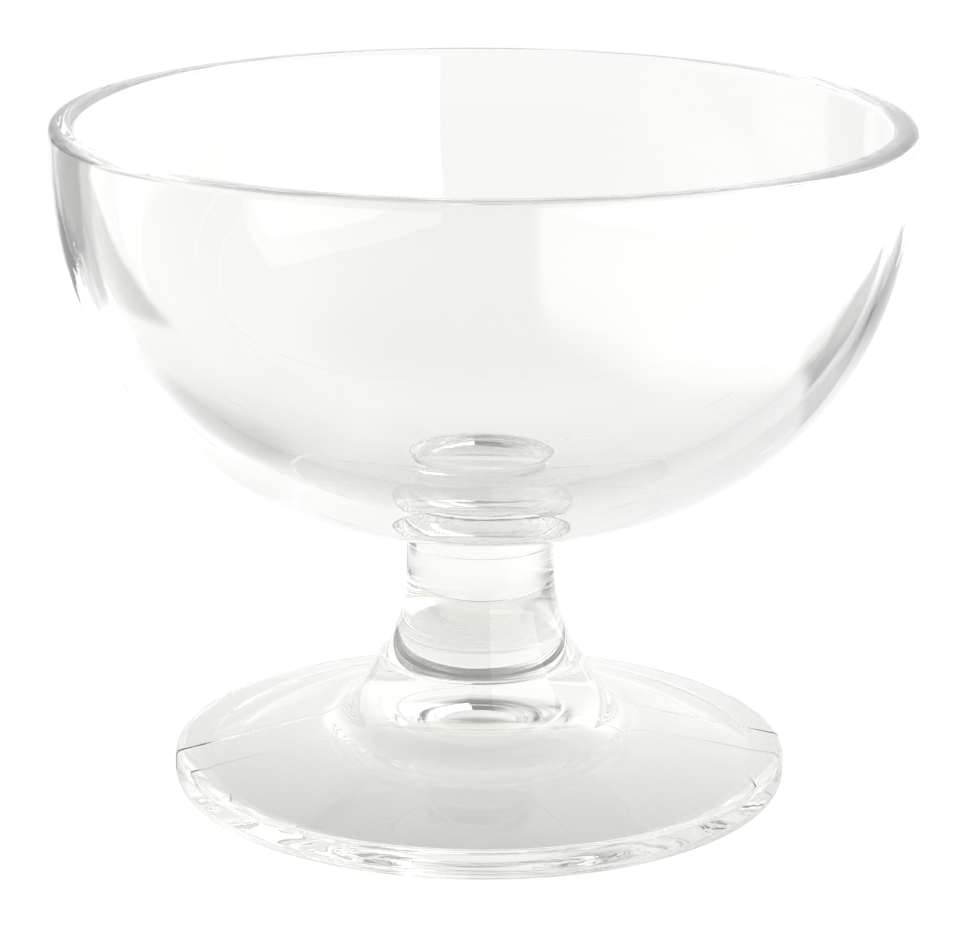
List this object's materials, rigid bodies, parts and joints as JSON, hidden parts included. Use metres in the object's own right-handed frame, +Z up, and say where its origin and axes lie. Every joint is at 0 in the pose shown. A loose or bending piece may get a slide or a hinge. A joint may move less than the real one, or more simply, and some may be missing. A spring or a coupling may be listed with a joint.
{
  "type": "footed dessert glass",
  "caption": "Thick-walled clear glass for a parfait or ice cream: a deep round bowl, a short waisted stem and a broad sloping foot with a shallow hollow underneath",
  "frame": {"origin": "middle of the foot's standing ring, on the table", "axes": "+Z up along the glass's axis of revolution; the front of the picture is seen from -Y"},
  "size_m": [0.12, 0.12, 0.0964],
  "materials": {
    "bowl_glass": "clear pressed soda-lime glass, fire-polished inside and out",
    "stem_glass": "clear pressed soda-lime glass, two faint mould seams",
    "foot_glass": "clear pressed soda-lime glass, rounded fire-polished edge"
  },
  "bodies": {
    "root": {"bowl": "bowl_glass", "stem": "stem_glass", "foot": "foot_glass"}
  },
  "joints": []
}
